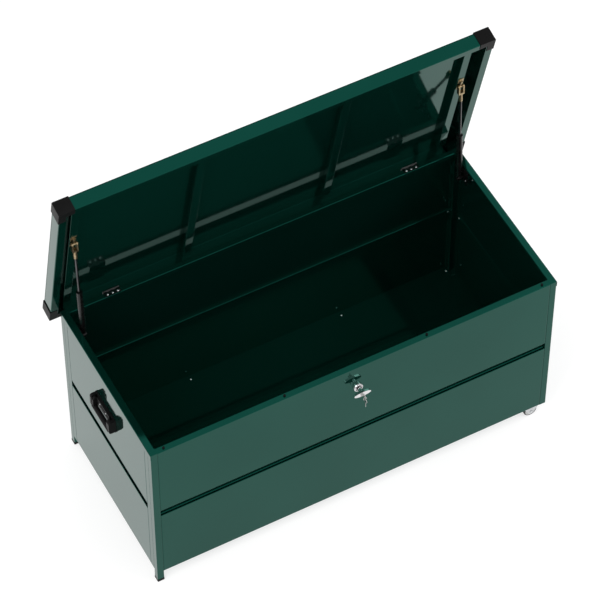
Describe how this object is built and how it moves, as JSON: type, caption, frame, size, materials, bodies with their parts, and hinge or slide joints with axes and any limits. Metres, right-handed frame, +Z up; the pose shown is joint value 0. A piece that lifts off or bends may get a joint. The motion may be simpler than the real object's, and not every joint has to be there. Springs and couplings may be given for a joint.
{
  "type": "sheet-metal storage chest",
  "caption": "Long low sheet-steel storage chest with a hinged lid on gas struts, a T-handle lock, a carry handle on one end and casters on the other.",
  "frame": {"origin": "on the floor, under the centre of the chest's body", "axes": "+X along the length towards the caster end, +Y towards the hinges at the back, +Z up; the lid is drawn open"},
  "size_m": [1.319, 0.6675, 1.1816],
  "materials": {
    "green_paint": "high-gloss dark green paint",
    "black_plastic": "black moulded plastic",
    "zinc_plate": "bright zinc plating",
    "dull_zinc": "dull zinc plating",
    "chrome": "chrome plating",
    "yellow_zinc": "yellow passivated zinc plating",
    "black_paint": "satin black paint",
    "rod_steel": "polished steel",
    "key_steel": "plated key metal",
    "hub_plastic": "light grey plastic",
    "tyre_rubber": "black rubber"
  },
  "bodies": {
    "chest": {"post_front_left": "green_paint", "post_back_left": "green_paint", "post_front_right": "green_paint", "post_back_right": "green_paint", "side_stiles": "green_paint", "front_upper_panel": "green_paint", "front_lower_panel": "green_paint", "back_upper_panel": "green_paint", "back_lower_panel": "green_paint", "left_upper_panel": "green_paint", "left_lower_panel": "green_paint", "right_upper_panel": "green_paint", "right_lower_panel": "green_paint", "left_rim_rail": "green_paint", "right_rim_rail": "green_paint", "floor_tray": "green_paint", "floor_beams": "green_paint", "leg_feet": "black_plastic", "caster_fork_front": "zinc_plate", "caster_fork_back": "zinc_plate", "caster_axles": "zinc_plate", "hinge_base_leaves": "dull_zinc", "hinge_pins": "dull_zinc", "strut_wall_brackets": "black_paint", "lock_housing": "chrome", "handle_base": "black_plastic", "rim_bumpers": "black_plastic", "body_screws": "zinc_plate"},
    "lid": {"lid_top_sheet": "green_paint", "lid_front_rail": "green_paint", "lid_back_rail": "green_paint", "lid_left_rail": "green_paint", "lid_right_rail": "green_paint", "lid_rib_end_left": "green_paint", "lid_rib_mid_left": "green_paint", "lid_rib_mid_right": "green_paint", "lid_rib_end_right": "green_paint", "corner_cap_front_left": "black_plastic", "corner_cap_front_right": "black_plastic", "corner_cap_back_left": "black_plastic", "corner_cap_back_right": "black_plastic", "hinge_lid_leaves": "dull_zinc", "lid_strut_brackets": "yellow_zinc", "lid_keeper": "green_paint"},
    "strut_tube_left": {"strut_tube_left": "black_paint"},
    "strut_tube_right": {"strut_tube_right": "black_paint"},
    "strut_rod_left": {"strut_rod_left": "rod_steel", "strut_clevis_left": "yellow_zinc"},
    "strut_rod_right": {"strut_rod_right": "rod_steel", "strut_clevis_right": "yellow_zinc"},
    "lock_handle": {"lock_t_handle": "chrome", "lock_cam": "zinc_plate"},
    "lock_plug": {"lock_plug": "zinc_plate"},
    "key": {"key": "key_steel"},
    "key_ring": {"spare_key_ring": "key_steel"},
    "carry_handle": {"handle_bail": "black_plastic"},
    "wheel_front": {"wheel_hub_front": "hub_plastic", "tyre_front": "tyre_rubber"},
    "wheel_back": {"wheel_hub_back": "hub_plastic", "tyre_back": "tyre_rubber"}
  },
  "joints": [
    {"name": "lid_hinge", "type": "hinge", "parent": "chest", "child": "lid", "pos_m": [0, 0.281, 0.6125], "axis": [1, 0, 0], "range_deg": [0, 77.2], "stiffness_Nm_per_rad": 8, "springref_deg": -57.3},
    {"name": "strut_swing_left", "type": "hinge", "parent": "chest", "child": "strut_tube_left", "pos_m": [-0.596, 0.206, 0.568], "axis": [1, 0, 0], "range_deg": [0, 79.9]},
    {"name": "strut_slide_left", "type": "slide", "parent": "strut_tube_left", "child": "strut_rod_left", "axis": [0, 0.0436, 0.999], "range_m": [-0.1091, 0]},
    {"name": "strut_swing_right", "type": "hinge", "parent": "chest", "child": "strut_tube_right", "pos_m": [0.596, 0.206, 0.568], "axis": [1, 0, 0], "range_deg": [0, 79.9]},
    {"name": "strut_slide_right", "type": "slide", "parent": "strut_tube_right", "child": "strut_rod_right", "axis": [0, 0.0436, 0.999], "range_m": [-0.1091, 0]},
    {"name": "lock_turn", "type": "hinge", "parent": "chest", "child": "lock_handle", "pos_m": [0, -0.2785, 0.525], "axis": [0, -1, 0], "range_deg": [0, 90]},
    {"name": "key_turn", "type": "hinge", "parent": "lock_handle", "child": "lock_plug", "pos_m": [0, -0.3065, 0.525], "axis": [0, -1, 0], "range_deg": [0, 90]},
    {"name": "key_pull", "type": "slide", "parent": "lock_plug", "child": "key", "axis": [0, -1, 0], "range_m": [0, 0.03]},
    {"name": "key_ring_swing", "type": "hinge", "parent": "key", "child": "key_ring", "pos_m": [0, -0.3219, 0.52385], "axis": [1, 0, 0], "range_deg": [-30, 20]},
    {"name": "carry_handle_swing", "type": "hinge", "parent": "chest", "child": "carry_handle", "pos_m": [-0.6428, 0.003, 0.49], "axis": [0, 1, 0], "range_deg": [0, 90]},
    {"name": "wheel_spin_front", "type": "hinge", "parent": "chest", "child": "wheel_front", "pos_m": [0.587, -0.262, 0.0208], "axis": [0, 1, 0], "continuous": true},
    {"name": "wheel_spin_back", "type": "hinge", "parent": "chest", "child": "wheel_back", "pos_m": [0.587, 0.262, 0.0208], "axis": [0, 1, 0], "continuous": true}
  ],
  "couplings": [
    {"joint": "strut_swing_left", "follows": "lid_hinge", "ratio": 1.0282},
    {"joint": "strut_slide_left", "follows": "lid_hinge", "m_per_rad": -0.080254},
    {"joint": "strut_swing_right", "follows": "lid_hinge", "ratio": 1.0282},
    {"joint": "strut_slide_right", "follows": "lid_hinge", "m_per_rad": -0.080254}
  ]
}
